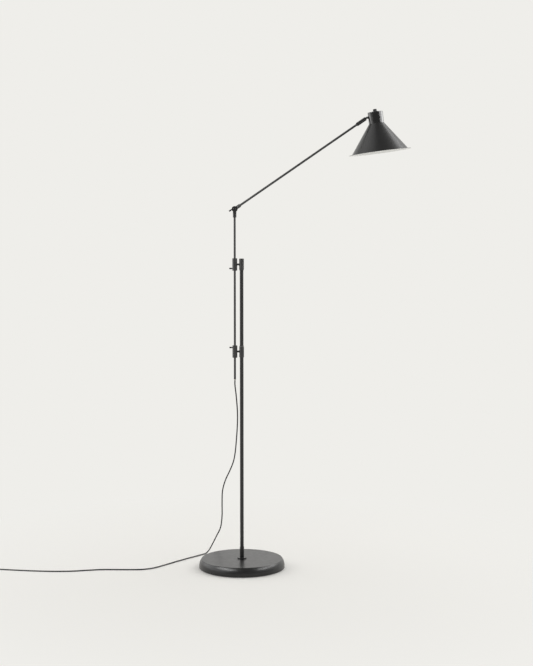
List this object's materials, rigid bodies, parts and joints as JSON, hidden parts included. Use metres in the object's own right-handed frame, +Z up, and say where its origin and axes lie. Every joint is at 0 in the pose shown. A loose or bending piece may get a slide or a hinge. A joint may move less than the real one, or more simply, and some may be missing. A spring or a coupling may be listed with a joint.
{
  "type": "adjustable arm floor lamp",
  "caption": "Floor lamp with a round weighted base, a pole, a sliding riser rod in two side clamps, a tilting arm and a conical shade on a tilting neck.",
  "frame": {"origin": "middle of the base's underside, on the floor", "axes": "+Z up the pole, +X from the pole towards the side that the arm points to, +Y towards the back"},
  "size_m": [1.4245, 0.3811, 1.4905],
  "materials": {
    "satin_black": "satin powder coat with a very fine grain; the shade's inside is white enamel",
    "gloss_black": "gloss enamel",
    "black_hardware": "blackened steel, satin",
    "white_enamel": "matt white enamel inside the shade",
    "black_plastic": "moulded, matt",
    "cast_weight": "as cast",
    "zinc_steel": "zinc plated",
    "nylon": "natural nylon",
    "cord_sheath": "smooth matt sheath",
    "plug_plastic": "moulded, fine spark texture",
    "pin_metal": "nickel plated brass",
    "bulb_glass": "opal glass",
    "felt": "pressed felt"
  },
  "bodies": {
    "stand": {"base_cover": "satin_black", "base_weight": "cast_weight", "bottom_plate": "zinc_steel", "plate_screws": "zinc_steel", "felt_pad": "felt", "pole_flange": "satin_black", "foot_sleeve": "satin_black", "pole_insert": "zinc_steel", "pole_stud": "zinc_steel", "base_washer": "zinc_steel", "base_nut": "zinc_steel", "main_pole": "satin_black", "pole_cap": "black_plastic", "upper_collar": "satin_black", "lower_collar": "satin_black", "collar_screws": "zinc_steel", "upper_bridge": "satin_black", "lower_bridge": "satin_black", "upper_barrel": "satin_black", "lower_barrel": "satin_black", "upper_liner": "nylon", "lower_liner": "nylon", "cord_run": "cord_sheath", "cord_coil": "cord_sheath", "cord_tail": "cord_sheath", "plug_relief": "plug_plastic", "plug_body": "plug_plastic", "plug_pins": "pin_metal"},
    "upper_thumb_screw": {"upper_clamp_screw": "black_hardware"},
    "lower_thumb_screw": {"lower_clamp_screw": "black_hardware"},
    "cord_carrier": {"cord_bush": "nylon", "cord_drop": "cord_sheath"},
    "riser": {"riser_rod": "satin_black", "rod_cable": "cord_sheath", "elbow_fork": "satin_black", "elbow_washers": "nylon", "elbow_bolt": "black_hardware", "elbow_nut": "black_hardware"},
    "arm": {"elbow_eye": "satin_black", "arm_tube": "satin_black", "arm_end_ferrule": "gloss_black", "arm_cable": "cord_sheath"},
    "elbow_thumb_screw": {"elbow_screw": "black_hardware"},
    "head": {"hinge_ears": "gloss_black", "hinge_pin": "zinc_steel", "neck_cup": "gloss_black", "shade": "satin_black", "holder_plate": "zinc_steel", "lampholder": "black_plastic", "shade_ring": "black_plastic", "bulb_cap": "pin_metal", "bulb_glass": "bulb_glass", "switch_body": "black_plastic", "switch_nut": "black_hardware", "head_wires": "pin_metal"},
    "knob": {"switch_knob": "black_plastic"}
  },
  "joints": [
    {"name": "rod_height", "type": "slide", "parent": "stand", "child": "cord_carrier", "axis": [0, 0, 1], "range_m": [-0.125, 0.06]},
    {"name": "rod_swivel", "type": "hinge", "parent": "cord_carrier", "child": "riser", "pos_m": [-0.022, 0, 0.9], "axis": [0, 0, 1], "range_deg": [-180, 180]},
    {"name": "elbow_tilt", "type": "hinge", "parent": "riser", "child": "arm", "pos_m": [-0.022, 0, 1.171], "axis": [0, -1, 0], "range_deg": [-55, 28]},
    {"name": "head_tilt", "type": "hinge", "parent": "arm", "child": "head", "pos_m": [0.40119, 0, 1.46185], "axis": [0, -1, 0], "range_deg": [-20, 75]},
    {"name": "upper_screw_turn", "type": "hinge", "parent": "stand", "child": "upper_thumb_screw", "pos_m": [-0.032, 0, 0.98], "axis": [-1, 0, 0], "range_deg": [0, 360]},
    {"name": "lower_screw_turn", "type": "hinge", "parent": "stand", "child": "lower_thumb_screw", "pos_m": [-0.032, 0, 0.724], "axis": [-1, 0, 0], "range_deg": [0, 360]},
    {"name": "elbow_screw_turn", "type": "hinge", "parent": "arm", "child": "elbow_thumb_screw", "pos_m": [-0.02438, 0, 1.17446], "axis": [-0.8241, 0, -0.5664], "range_deg": [0, 360]},
    {"name": "knob_turn", "type": "hinge", "parent": "head", "child": "knob", "pos_m": [0.42753, 0, 1.48342], "axis": [-0.1288, 0, 0.9917], "range_deg": [0, 90]}
  ]
}
